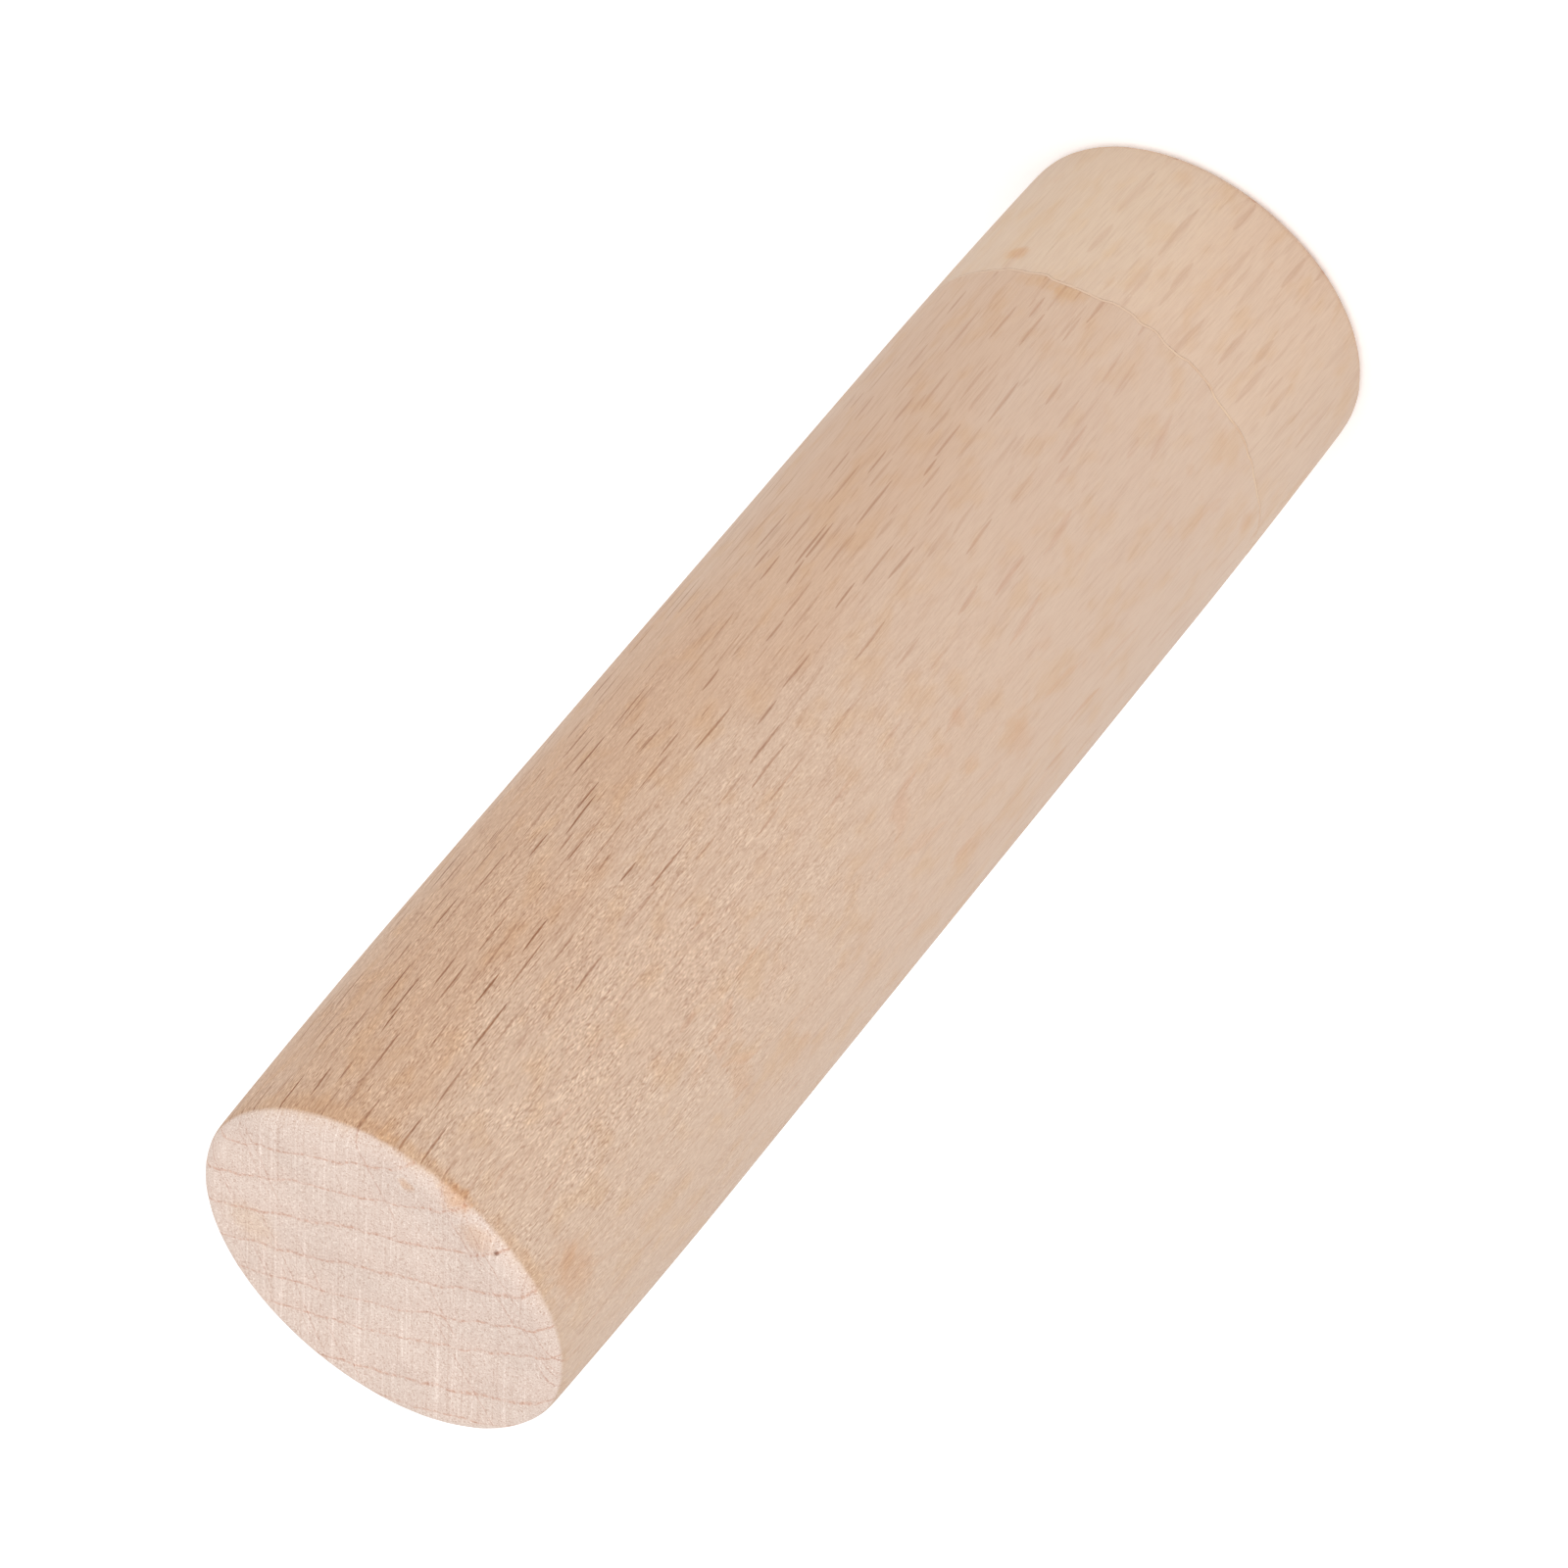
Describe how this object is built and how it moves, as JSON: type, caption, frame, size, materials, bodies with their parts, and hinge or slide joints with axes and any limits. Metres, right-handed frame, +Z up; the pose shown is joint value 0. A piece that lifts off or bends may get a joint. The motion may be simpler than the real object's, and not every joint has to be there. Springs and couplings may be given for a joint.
{
  "type": "muddler",
  "caption": "Short plain wooden muddler: a straight turned beech cylinder with softened rims, for crushing fruit and herbs in a glass.",
  "frame": {"origin": "centre of the end block's flat foot face, which the muddler stands on", "axes": "+Z up along the turned axis, from the end block to the shaft's free working face; the body is round about Z, so X and Y only fix how the grain is turned"},
  "size_m": [0.03, 0.03, 0.107],
  "materials": {
    "shaft_beech": "steamed beech, turned and fine sanded, no lacquer, matt with a faint sheen",
    "end_block_beech": "steamed beech of a slightly paler board, turned and fine sanded, no lacquer",
    "wood_glue": "cured yellow wood glue, sanded flush, dull and slightly translucent",
    "dowel_hardwood": "rolled hardwood dowel with pressed flutes, uncoated"
  },
  "bodies": {
    "root": {"shaft": "shaft_beech", "end_block": "end_block_beech", "glue_film": "wood_glue", "dowel": "dowel_hardwood"}
  },
  "joints": []
}
